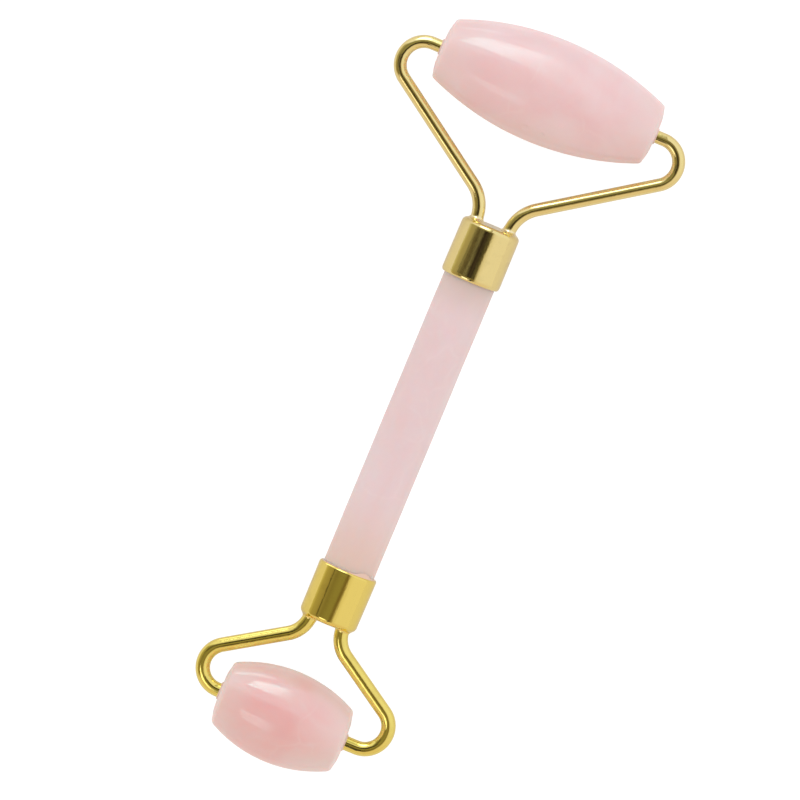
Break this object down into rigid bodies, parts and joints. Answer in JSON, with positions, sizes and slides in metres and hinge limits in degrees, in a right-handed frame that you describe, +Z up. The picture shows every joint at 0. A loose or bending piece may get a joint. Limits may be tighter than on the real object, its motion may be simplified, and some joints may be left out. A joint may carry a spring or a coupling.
{
  "type": "face roller",
  "caption": "Double-ended facial massage roller: a stone rod handle with capped ends and bent wire arms, each pair carrying a barrel-shaped stone roller.",
  "frame": {"origin": "under the middle of the tool's outline, at the height of the large roller's underside", "axes": "+Y along the handle towards the large roller, +X along both roller axles, +Z up with the handle level"},
  "size_m": [0.0576, 0.1456, 0.02],
  "materials": {
    "handle_quartz": "satin pale rose quartz",
    "large_roller_quartz": "polished rose quartz",
    "small_roller_quartz": "polished rose quartz, deeper pink",
    "gilt_cap": "mirror-polished light gold plate",
    "gilt_wire": "polished light gold plate",
    "gilt_solder": "plated solder fillet",
    "natural_nylon": "natural translucent nylon",
    "epoxy": "clear amber-tinted hardened glue"
  },
  "bodies": {
    "handle": {"handle_rod": "handle_quartz", "large_end_cap": "gilt_cap", "large_end_glue": "epoxy", "large_left_arm": "gilt_wire", "large_right_arm": "gilt_wire", "large_left_solder": "gilt_solder", "large_right_solder": "gilt_solder", "small_end_cap": "gilt_cap", "small_end_glue": "epoxy", "small_left_arm": "gilt_wire", "small_right_arm": "gilt_wire", "small_left_solder": "gilt_solder", "small_right_solder": "gilt_solder"},
    "large_roller": {"large_roller_stone": "large_roller_quartz", "large_left_sleeve": "natural_nylon", "large_right_sleeve": "natural_nylon"},
    "small_roller": {"small_roller_stone": "small_roller_quartz", "small_left_sleeve": "natural_nylon", "small_right_sleeve": "natural_nylon"}
  },
  "joints": [
    {"name": "large_roller_spin", "type": "hinge", "parent": "handle", "child": "large_roller", "pos_m": [0, 0.06283, 0.01], "axis": [1, 0, 0], "continuous": true},
    {"name": "small_roller_spin", "type": "hinge", "parent": "handle", "child": "small_roller", "pos_m": [0, -0.06388, 0.01], "axis": [1, 0, 0], "continuous": true}
  ]
}
